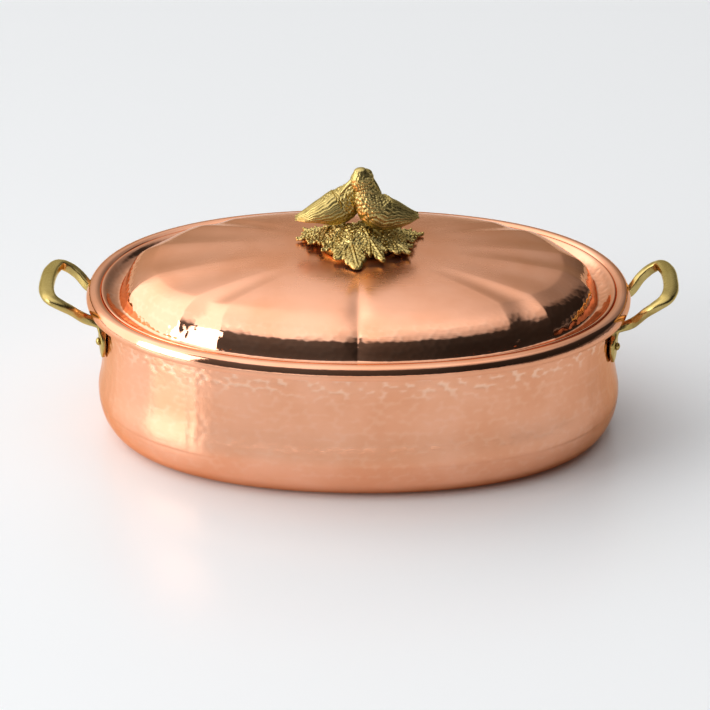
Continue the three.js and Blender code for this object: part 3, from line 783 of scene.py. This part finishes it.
def besideWall(degrees, height, out):
    inset = np.interp(height, handleLook["wallHeights"], handleLook["wallInsets"])
    x, y = ovalPlace(np.array(math.radians(degrees)), np.array(rimWidth - inset + out))
    return [float(x), float(y), height]


def wallNormal(degrees):
    return np.array([*ovalNormal(math.radians(degrees)), 0.0])


def handleStops(name):
    s = handleLook
    foot = [besideWall(s["footDegrees"], height, s["seat"] + thick) + [wide, thick]
            for height, wide, thick in s["foot"]]
    length, rise = s["gripX"] - rimLength, s["rise"][name]
    grip = [[rimLength + length * reach, y, s["lipHeight"] + rise * up, wide, thick]
            for reach, y, up, wide, thick in s["grip"]]
    half = foot + grip
    return half + [[x, -y, z, wide, thick] for x, y, z, wide, thick in half[-2::-1]]


# squares off a round section, and keeps the sign
def blunted(wave, power):
    return np.sign(wave) * np.abs(wave) ** power


# a bar with a flat face inside the loop, a round back and flattened feet
def makeHandle(name, side):
    s = handleLook
    run = smoothRun(handleStops(name), s["stations"])
    spot, wide, thick = run[:, :3], run[:, 3:4], run[:, 4:5]
    ahead = unit(np.gradient(spot, axis=0))
    along = np.linspace(0, 1, len(run))
    nearFoot = smoothstep(np.abs(along - 0.5), *s["footEnds"])[:, None]
    wall = np.where(along[:, None] < 0.5, wallNormal(s["footDegrees"]), wallNormal(-s["footDegrees"]))
    facing = wall * nearFoot - np.array([0, 0, 1]) * (1 - nearFoot)
    facing = unit(facing - ahead * np.einsum("ij,ij->i", facing, ahead)[:, None])
    angle = (np.arange(s["sides"]) + 0.5) / s["sides"] * 2 * np.pi
    inner = np.cos(angle) > 0
    bluntAcross = np.where(inner, s["flat"], s["round"]) * (1 - nearFoot) + s["flat"] * nearFoot
    bluntDeep = np.where(inner, s["flatSide"], s["round"]) * (1 - nearFoot) + s["flat"] * nearFoot
    rings = sweep(spot, np.cross(facing, ahead), facing,
                  wide * blunted(np.cos(angle), bluntAcross), thick * blunted(np.sin(angle), bluntDeep))
    rings[..., :2] *= side
    casting = Casting()
    casting.addRings(rings)
    piece = casting.finish(name + "_brass", handleBrass, s["recessShade"])
    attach(piece, "pan")
    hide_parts(name)


# a rivet: flat inner head, shank and domed outer head, measured out from the wall
rivetLook = {
    "shank": 2.0, "head": 2.7, "headRise": 2.2, "inner": 3.4, "innerRise": 1.5, "seat": 4.1, "inside": 3.3,
    "sides": 32, "dents": (0.03, 0.02), "recessShade": 0.6,
    "degrees": {"right_back_rivet": 12, "left_back_rivet": 168, "left_front_rivet": 192, "right_front_rivet": -12},
}


def makeRivet(name, degrees):
    s = rivetLook
    profile = np.concatenate([
        arc((0, -s["inside"]), s["inner"], s["innerRise"], -86, 0, 8),
        [(s["shank"] + 0.1, -s["inside"] + 0.02), (s["shank"], -s["inside"] + 0.3)],
        [(s["shank"], s["seat"] - 0.3), (s["shank"] + 0.1, s["seat"] - 0.02)],
        [(s["head"] - 0.1, s["seat"]), (s["head"], s["seat"] + 0.12)],
        arc((0, s["seat"] + 0.15), s["head"], s["headRise"] - 0.15, 4, 86, 10),
    ])
    turn = circle(s["sides"])
    out = wallNormal(degrees)
    beside = unit(np.cross([0, 0, 1], out))
    base = np.array(besideWall(degrees, handleLook["rivet"], 0))
    wobble = 1 + s["dents"][0] * np.sin(turn * 3 + degrees) + s["dents"][1] * np.sin(turn * 5)
    flat = beside * (np.cos(turn) * wobble)[:, None] + np.array([0, 0, 1.0]) * (np.sin(turn) * wobble)[:, None]
    casting = Casting()
    casting.addRings(base + profile[:, :1, None] * flat[None] + profile[:, 1:, None] * out)
    piece = casting.finish(name + "_brass", handleBrass, s["recessShade"])
    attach(piece, "pan")
    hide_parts(name)


for name, side in (("right_handle", 1), ("left_handle", -1)):
    makeHandle(name, side)
for name, degrees in rivetLook["degrees"].items():
    makeRivet(name, degrees)
print("handles and rivets made")

# the finial: vine leaves heaped round a mound, with berries, under two birds
bedLook = {
    "halfLength": 45.0, "halfWidth": 34.0, "edge": 2.6, "topGap": 0.6, "cone": 0.7, "knobEnds": (0.08, 0.55),
    "mound": (25, 20), "moundSides": 60, "boss": 10, "bossSides": 40, "recessShade": 0.5,
    "berries": 46, "berrySeed": 5, "berryReach": (30, 25), "berryAway": (0.05, 0.62),
    "berryRadius": (0.9, 1.6), "berryLift": 1.6,
}


# height of the bare dome under the finial
def domeTop(x, y):
    s = lidShape
    middle = rimWidth - domeTopInset
    radius = np.hypot(x * middle / (rimLength - domeTopInset), y)
    return domeHeight - (s["domeRise"] - s["domeTopRise"]) * (radius / middle) ** s["crownPower"]


# height of the heap of leaves at a place
def heapHeight(x, y):
    s = bedLook
    squeezed = np.hypot(x / s["halfLength"], y / s["halfWidth"])
    foot = domeTop(x, y) + s["edge"]
    knob = 1 - smoothstep(squeezed, *s["knobEnds"])
    cone = s["cone"] * np.clip(1 - squeezed, 0, 1) + (1 - s["cone"]) * knob
    return foot + (bedTop - s["topGap"] - foot) * cone


leafLook = {
    "around": 192, "rings": 26, "thickness": 1.9, "clearance": 0.5,
    "lobeShare": 0.62, "lobeWidths": (26, 62), "lobeBluntness": 0.55, "shortest": 0.42,
    "veinHeight": 0.35, "veinWidth": 0.5, "gutterDepth": 0.45, "gutterPlace": 1.2, "gutterWidth": 0.6,
    "ribHeight": 0.26, "ribEnds": (0.9, 2.2), "knotHeight": 0.42, "innerEnds": (0.82, 1.0),
    "rimHeight": 0.75, "rimEnds": (0.7, 0.9), "rimShare": 0.35, "roundFrom": 0.86,
    "curl": 0.5, "droop": 0.4, "droopPower": 2.5, "bead": 0.75, "beadSpread": 0.3, "beadRing": 23,
}


# a leaf: its middle, its stalk's height over the heap, and the heading and reach of each lobe
def addLeaf(casting, middle, lift, lobes, seed):
    s = leafLook
    source = np.random.default_rng(seed)
    turn = np.linspace(0, 360, s["around"], endpoint=False)
    heading, reach = (np.array(column, dtype=float) for column in zip(*lobes))
    order = np.argsort(np.mod(heading, 360))
    heading, reach = np.mod(heading, 360)[order], reach[order]
    gap = np.mod(np.roll(heading, -1) - heading, 360)
    width = np.clip(s["lobeShare"] * np.maximum(gap, np.roll(gap, 1)), *s["lobeWidths"])
    away = (turn[:, None] - heading[None, :] + 180) % 360 - 180
    near = np.abs(away) / width[None, :]
    petals = reach * np.cos(np.pi / 2 * np.clip(near, 0, 1)) ** s["lobeBluntness"]
    teeth = np.abs(np.cos(1.5 * np.pi * near + 0.25 * np.sin(seed + heading)[None, :]))
    lobe = petals.argmax(1)
    row = np.arange(len(turn))
    tooth = teeth[row, lobe]
    outline = np.maximum(petals[row, lobe], s["shortest"] * reach.mean()) * (0.9 + 0.14 * tooth)
    offset = np.radians(away[row, lobe])[None, :]
    share = np.linspace(0.02, 1, s["rings"])[:, None] ** 0.8
    angle = np.radians(turn)[None, :]
    radius = share * outline[None, :]
    x = middle[0] + radius * np.cos(angle)
    y = middle[1] + radius * np.sin(angle)

    across, along = np.abs(radius * np.sin(offset)), radius * np.cos(offset)
    vein = s["veinHeight"] * np.exp(-(across / s["veinWidth"]) ** 2)
    gutter = s["gutterDepth"] * np.exp(-((across - s["gutterPlace"]) / s["gutterWidth"]) ** 2)
    ribs = s["ribHeight"] * np.sin(along * 1.7 - across * 1.4 + seed) * smoothstep(across, *s["ribEnds"])
    knots = s["knotHeight"] * np.sin(x * 2.3 + y + seed) * np.sin(y * 2.5 - x * 0.8 + seed * 2)
    rimShare = s["rimShare"] + (1 - s["rimShare"]) * tooth[None, :]
    rim = s["rimHeight"] * smoothstep(share, *s["rimEnds"]) * rimShare
    curl = s["curl"] * np.sin(angle * 2 + source.uniform(0, 6)) * share ** 2
    droop = (lift + s["droop"]) * share ** s["droopPower"]
    rounding = np.sqrt(1 - np.clip((share - s["roundFrom"]) / (1 - s["roundFrom"]), 0, 1) ** 2)
    detail = (vein - gutter + ribs + knots) * (1 - smoothstep(share, *s["innerEnds"])) + rim
    top = heapHeight(x, y) + lift - droop + curl + detail * (0.3 + 0.7 * rounding)
    half = s["thickness"] / 2
    centre = np.maximum(top - half, domeTop(x, y) + s["clearance"] + half)
    upper = np.stack([x, y, centre + half * rounding], -1)
    lower = np.stack([x, y, centre - half * rounding], -1)[-2::-1]
    casting.addRings(np.concatenate([upper, lower]))

    tips = np.flatnonzero((tooth > np.roll(tooth, 1)) & (tooth >= np.roll(tooth, -1)))
    for tip in tips:
        spot = upper[s["beadRing"], tip] + np.array([0, 0, 0.1])
        casting.addBead(spot, s["bead"] + s["beadSpread"] * source.random(), (1, 1, 0.8), 12, 7)


# middle, lift, and the heading and reach of each lobe
leaves = [
    ((-28, 11), 0.2, [(190, 13.5), (150, 11), (232, 10.5), (100, 10), (280, 9)]),
    ((-22, 3), 1.3, [(205, 12.5), (252, 11), (292, 11.5), (150, 12), (110, 13), (20, 8)]),
    ((-14, -9), 0.6, [(215, 12), (255, 10), (175, 10), (290, 9)]),
    ((-4.5, -14.5), 1.8, [(284, 20.5), (226, 15.5), (142, 14), (357, 14), (50, 12), (90, 12)]),
    ((7.5, -11), 2.6, [(302, 18.5), (272, 13), (334, 13), (240, 9), (8, 9), (122, 16)]),
    ((23, -6), 1.1, [(322, 14.5), (285, 12.5), (5, 13), (45, 9), (180, 10)]),
    ((26, 5), 1.8, [(22, 13.5), (345, 11.5), (62, 10), (300, 9), (180, 12)]),
    ((27, 17), 0.8, [(14, 16.5), (340, 10.5), (52, 13), (90, 9), (210, 10)]),
    ((17, 25), 0.4, [(62, 13.5), (25, 12), (100, 12), (140, 8)]),
    ((2, 27), 0.2, [(88, 12.5), (50, 11), (126, 11), (10, 8), (170, 8)]),
    ((-13, 25), 0.5, [(112, 13.5), (75, 10), (150, 12.5), (190, 8)]),
    ((-25, 20), 0.9, [(152, 14), (115, 11), (190, 11.5), (80, 8), (230, 8)]),
    ((-17, 9), 4.2, [(190, 15), (155, 12), (232, 12), (285, 10), (110, 10), (20, 8)]),
    ((-9, -1), 2.6, [(215, 12), (175, 10), (255, 12), (295, 9), (100, 9)]),
    ((18, 9), 3.4, [(12, 16), (335, 13), (50, 12), (300, 11), (110, 9), (180, 9)]),
    ((0, 14), 2.0, [(90, 13), (50, 12), (130, 12), (0, 9), (180, 9)]),
]


def makeLeafBed():
    s = bedLook
    casting = Casting()
    share = np.linspace(0.05, 1, 14)[:, None]
    turn = circle(s["moundSides"])[None, :]
    x, y = s["mound"][0] * share * np.cos(turn), s["mound"][1] * share * np.sin(turn)
    upper = np.stack([x, y, heapHeight(x, y) - 0.5], -1)
    lower = np.stack([x * 0.98, y * 0.98, domeTop(x, y) + 0.6], -1)[::-1]
    casting.addRings(np.concatenate([upper, lower]))
    casting.addRings(roundRings(s["boss"], np.linspace(domeHeight + 0.3, domeHeight + 3, 4), s["bossSides"]))
    for number, (middle, lift, lobes) in enumerate(leaves):
        addLeaf(casting, middle, lift, lobes, number)
    source = np.random.default_rng(s["berrySeed"])
    for _ in range(s["berries"]):
        angle, away = source.uniform(0, 2 * np.pi), source.uniform(*s["berryAway"])
        x = s["berryReach"][0] * away * math.cos(angle)
        y = s["berryReach"][1] * away * math.sin(angle)
        radius = source.uniform(*s["berryRadius"])
        z = float(heapHeight(np.array(x), np.array(y))) + s["berryLift"]
        casting.addBead((x, y, min(z, bedTop - radius)), radius, (1, 1, 0.9))
    bed = casting.finish("leaf_bed_brass", finialBrass, s["recessShade"])
    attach(bed, "lid")
    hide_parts("leaf_bed")
    print("leaf bed made")


makeLeafBed()

# each stop of a bird runs from tail to crown: place, half width and half height as shares of the span
birdLook = {
    "span": 44.0, "top": 186.3, "foot": 0.3, "stations": 230, "sides": 150,
    "beadDepth": 0.5, "beadPitch": 2.1, "beadColumns": 27, "beadScatter": 0.3,
    "featherDepth": 0.55, "featherRows": 12, "wingStep": 0.3, "wingSide": (0.3, 0.4),
    "wingStart": (0.05, 0.1), "wingStop": (0.5, 0.54), "tailStop": (0.28, 0.36), "headStart": (0.88, 0.95),
    "tailSteps": 0.96, "crown": 0.55, "billStations": 24, "billSides": 20,
    "eyeAhead": 2.2, "eyeOut": 0.84, "eyeUp": 1.4, "recessShade": 0.4,
    "right": [
        (0.885, 0.07, 0.12, 0.1, 0.04), (0.74, 0.05, 0.12, 0.16, 0.12), (0.55, 0.02, 0.15, 0.22, 0.215),
        (0.375, -0.03, 0.2, 0.26, 0.27), (0.239, -0.09, 0.31, 0.24, 0.275), (0.148, -0.115, 0.48, 0.19, 0.215),
        (0.105, -0.12, 0.652, 0.141, 0.157), (0.045, -0.112, 0.816, 0.143, 0.176), (0.03, -0.108, 0.94, 0.09, 0.1),
    ],
    "rightBeak": [(-0.03, -0.12, 0.83), (-0.155, -0.135, 0.71), (-0.265, -0.14, 0.565)],
    "left": [
        (-0.932, 0.07, 0.056, 0.1, 0.029), (-0.784, 0.07, 0.096, 0.17, 0.083), (-0.614, 0.07, 0.154, 0.216, 0.157),
        (-0.42, 0.09, 0.2, 0.25, 0.245), (-0.25, 0.12, 0.27, 0.235, 0.275), (-0.125, 0.145, 0.405, 0.185, 0.225),
        (-0.011, 0.165, 0.571, 0.125, 0.142), (0.095, 0.17, 0.694, 0.123, 0.147), (0.12, 0.17, 0.8, 0.08, 0.09),
    ],
    "leftBeak": [(0.16, 0.165, 0.71), (0.252, 0.15, 0.59), (0.335, 0.13, 0.46)],
}
birdRise = birdLook["top"] - bedTop


def birdPlace(stops):
    s = birdLook
    stops = np.array(stops, dtype=float)
    stops[:, :2] *= s["span"]
    stops[:, 2] = bedTop + s["foot"] + stops[:, 2] * birdRise
    stops[:, 3] *= s["span"]
    stops[:, 4:] *= birdRise
    return stops


# rows of beads on the breast and head, wavy feathers on the wings and tail
def birdRelief(turn, along, seed):
    s = birdLook
    u = along / along[-1, 0]
    columns = s["beadColumns"]
    around = turn / (2 * np.pi) * columns
    marks = hammerMarks(around, along + 0 * turn, columns, 1.0, s["beadPitch"], seed, s["beadScatter"])
    beads = s["beadDepth"] * (0.6 - np.clip(marks / 0.22, 0, 1.3))
    waves = 1.6 * np.sin(u * 6 + 1) + 0.4 * np.sin(along * 0.9)
    feathers = s["featherDepth"] * (np.abs(np.sin(turn * s["featherRows"] + waves)) ** 0.7 - 0.7)
    side = smoothstep(np.abs(np.cos(turn)), *s["wingSide"])
    wing = side * smoothstep(u, *s["wingStart"]) * (1 - smoothstep(u, *s["wingStop"]))
    plumage = np.maximum(wing, 1 - smoothstep(u, *s["tailStop"]))
    relief = s["wingStep"] * wing + feathers * plumage + beads * (1 - plumage)
    return relief * smoothstep(u, 0, 0.05) * (1 - 0.7 * smoothstep(u, *s["headStart"]))


def addBill(casting, beak):
    s = birdLook
    stops = [list(stop) + [0.06 - 0.021 * index, 0.055 - 0.019 * index] for index, stop in enumerate(beak)]
    bill = smoothRun(birdPlace(stops), s["billStations"])
    ahead = unit(np.gradient(bill[:, :3], axis=0))
    beside = unit(np.cross(ahead, [0, 0, 1]))
    turn = circle(s["billSides"])[None, :]
    casting.addRings(sweep(bill[:, :3], beside, np.cross(beside, ahead),
                           bill[:, 3:4] * np.cos(turn), bill[:, 4:5] * np.sin(turn)))


def makeBird(name, stops, beak, seed):
    s = birdLook
    run = smoothRun(birdPlace(stops), s["stations"])
    spot, wide, high = run[:, :3], run[:, 3:4], run[:, 4:5]
    ahead = unit(np.gradient(spot, axis=0))
    beside = unit(np.array([0, 1, 0]) - ahead * ahead[:, 1:2])
    turn = circle(s["sides"])[None, :]
    relief = birdRelief(turn, lengthAlong(spot)[:, None], seed)
    rings = sweep(spot, beside, np.cross(beside, ahead),
                  (wide + relief) * np.cos(turn), (high + relief) * np.sin(turn))
    steps = s["tailSteps"] * np.cos(turn[0] * 6) * np.array([1, 0.7, 0.4, 0.15])[:, None]
    rings[:4] -= ahead[0] * steps[..., None]
    crown = [rings[-1] + ahead[-1] * high[-1] * s["crown"] * math.sin(a) - (rings[-1] - spot[-1]) * (1 - math.cos(a))
             for a in np.linspace(0.2, 1.45, 6)]
    casting = Casting()
    casting.addRings(np.concatenate([rings, np.array(crown)]))
    addBill(casting, beak)
    head = birdPlace([stops[7]])[0]
    toBeak = unit(birdPlace([list(beak[1]) + [0, 0]])[0][:3] - head[:3])
    for sign in (-1, 1):
        out = np.array([0, sign * head[3] * s["eyeOut"], s["eyeUp"]])
        casting.addBead(head[:3] + toBeak * s["eyeAhead"] + out, 1.0)
    piece = casting.finish(name + "_brass", finialBrass, s["recessShade"])
    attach(piece, "lid")
    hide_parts(name)


makeBird("right_bird", birdLook["right"], birdLook["rightBeak"], 21)
makeBird("left_bird", birdLook["left"], birdLook["leftBeak"], 22)
print("birds made")

# the stud, washer and nut that hold the finial from under the lid
fixingLook = {
    "sides": 72, "rows": 14, "bore": 3.3, "washer": 9.0, "washerEdge": 0.25, "acrossCorners": 12.6, "recessShade": 0.3,
    "stud": 3.0, "studRows": 200, "pitch": 1.25, "threadDepth": 0.22, "tip": (0.82, 0.88, 0.94, 0.98),
}


# radius of the stud, washer or nut at each height, all the way round
def fixingRadius(node, heights):
    s = fixingLook
    turn = circle(s["sides"])
    if node == "finial_stud":
        thread = 1 - np.cos(2 * np.pi * heights[:, None] / s["pitch"] - turn[None, :])
        radius = s["stud"] - s["threadDepth"] * thread / 2
        radius[:4] *= np.array(s["tip"])[:, None]
        return radius
    rows = np.linspace(0, 1, len(heights))
    fromEnd = np.minimum(rows, 1 - rows)
    if node == "finial_nut":
        sixth = np.pi / 3
        corner = s["acrossCorners"] / 2
        hexagon = corner * math.cos(sixth / 2) / np.cos(np.mod(turn, sixth) - sixth / 2)
        return np.minimum(hexagon[None, :], (corner * (0.9 + 0.6 * fromEnd))[:, None])
    edge = s["washerEdge"] * np.clip(1 - fromEnd * 6, 0, 1) ** 2
    return np.repeat((s["washer"] - edge)[:, None], len(turn), 1)


def makeFixing():
    s = fixingLook
    for node in ("finial_stud", "finial_washer", "finial_nut"):
        low, high = boxOf(node)
        heights = np.linspace(low[2], high[2], s["studRows"] if node == "finial_stud" else s["rows"])
        rings = roundRings(fixingRadius(node, heights), heights, s["sides"])
        casting = Casting()
        if node == "finial_stud":
            casting.addRings(rings)
        else:
            loop = np.concatenate([rings, roundRings(s["bore"], heights[::-1], s["sides"])])
            casting.add(loop.reshape(-1, 3), loopFaces(len(loop), s["sides"]))
        piece = casting.finish(node + "_brass", handleBrass, s["recessShade"])
        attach(piece, "lid")
        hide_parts(node)
    print("stud, washer and nut made")


makeFixing()

# floor and camera, in metres
stageLook = {
    "floor": rgba(0.915, 0.925, 0.93), "floorRoughness": 0.28, "floorReach": 6.0,
    "aim": Vector((0.0, 0.0, 60 * mm)), "distance": 2.2, "azimuth": 1.2, "elevation": 26.07, "lens": 166.4,
    "aimedAbove": 16.3 / 1491, "aimedBeside": 3.3 / 1491,
}


def makeFloor():
    s = stageLook
    reach = s["floorReach"]
    corners = [(-reach, -reach, 0), (reach, -reach, 0), (reach, reach, 0), (-reach, reach, 0)]
    mesh = bpy.data.meshes.new("floor")
    mesh.from_pydata(corners, [], [(0, 1, 2, 3)])
    material, graph = newFinish("floor_paint")
    finishSurface(graph, {"Roughness": s["floorRoughness"], "Base Color": s["floor"]})
    mesh.materials.append(material)
    floor = addObject("floor", mesh)


# a camera or lamp that looks at a point
def addAimed(name, data, place, aim):
    made = addObject(name, data)
    made.location = place
    made.rotation_euler = (aim - place).to_track_quat("-Z", "Y").to_euler()
    return made


def makeCamera():
    s = stageLook
    turn, tilt = math.radians(s["azimuth"]), math.radians(s["elevation"])
    toCamera = Vector((math.sin(turn) * math.cos(tilt), -math.cos(turn) * math.cos(tilt), math.sin(tilt)))
    right = Vector((math.cos(turn), math.sin(turn), 0))
    above = toCamera.cross(right)
    lens = bpy.data.cameras.new("camera")
    lens.lens = s["lens"]
    aimed = s["aim"] - above * s["aimedAbove"] - right * s["aimedBeside"]
    bpy.context.scene.camera = addAimed("camera", lens, s["aim"] + toCamera * s["distance"], aimed)


# the studio round the pan, by direction: a tall window on the left, a dim side on the right, darkness in
# front above a bright strip at the horizon, and a ceiling that brightens overhead
studioLook = {
    "horizon": 0.42, "ceiling": 0.97, "overheadPower": 6,
    "leftGain": 0.5, "leftEnds": (-0.1, 0.6), "rightDimming": 0.62, "rightEnds": (-0.05, 0.55),
    "frontDarkness": 0.88, "frontEnds": (-0.1, 0.25), "frontTurn": 0.75, "frontTop": (0.66, 0.84),
    "frontGlow": 0.7, "glowTop": (0.06, 0.16), "glowEnds": (-0.85, -0.6),
    "window": 1.95, "windowSide": (0.0, 0.3), "windowFoot": (0.0, 0.05), "windowTop": (0.82, 0.93),
    "windowFront": (-0.74, -0.66), "windowBack": (0.32, 0.6), "windowLeans": (0.3, 0.5),
    "seen": 0.86, "tone": rgba(0.985, 0.99, 1.0),
}


def makeWorld():
    s = studioLook
    world = bpy.data.worlds.new("studio")
    world.use_nodes = True
    bpy.context.scene.world = world
    graph = Graph(world.node_tree)
    way = graph.node("ShaderNodeTexCoord", {}, {}, 0)
    x, y, z = (graph.node("ShaderNodeSeparateXYZ", {}, {0: way}, index) for index in range(3))
    level = (1.0001 - z * z) ** 0.5
    beside, behind = x / level, y / level
    toLeft = 0 - beside
    toRight = beside.maths("MAXIMUM", beside, 0.0)

    def after(value, name):
        return graph.ease(value, *s[name])

    def before(value, name):
        return 1 - graph.ease(value, *s[name])

    sides = after(toLeft, "leftEnds") * s["leftGain"] - s["rightDimming"] * after(beside, "rightEnds")
    base = (s["horizon"] + s["ceiling"] * z * z) * (1 + sides * (1 - z ** s["overheadPower"]))
    low = before(z, "glowTop")
    dark = before(behind - toRight * s["frontTurn"], "frontEnds") * before(z, "frontTop") * (1 - low)
    glow = low * before(behind, "glowEnds") * s["frontGlow"]
    frontLean, backLean = s["windowLeans"]
    pane = after(behind - z * frontLean, "windowFront") * before(behind - z * backLean, "windowBack")
    window = pane * after(toLeft, "windowSide") * after(z, "windowFoot") * before(z, "windowTop")
    room = base * (1 - s["frontDarkness"] * dark) + glow
    light = room + (s["window"] - room) * window
    seen = graph.node("ShaderNodeLightPath", {}, {}, 0)
    strength = graph.node("ShaderNodeMix", {"data_type": "FLOAT"}, {0: seen, 2: light, 3: s["seen"]})
    colour = graph.node("ShaderNodeBackground", {}, {"Color": s["tone"], "Strength": strength})
    graph.node("ShaderNodeOutputWorld", {}, {"Surface": colour})


softboxLook = {"place": Vector((-1.88, -0.92, 0.8)), "aim": Vector((0, 0, 0.05)), "size": 1.2, "power": 16}


def makeSoftbox(name):
    s = softboxLook
    lamp = bpy.data.lights.new(name, "AREA")
    lamp.shape = "RECTANGLE"
    lamp.size = lamp.size_y = s["size"]
    lamp.energy = s["power"]
    addAimed(name, lamp, s["place"], s["aim"])


makeFloor()
makeCamera()
makeWorld()
makeSoftbox("left_softbox")
bpy.context.scene.view_settings.view_transform = "Standard"
print("floor, camera and light made")
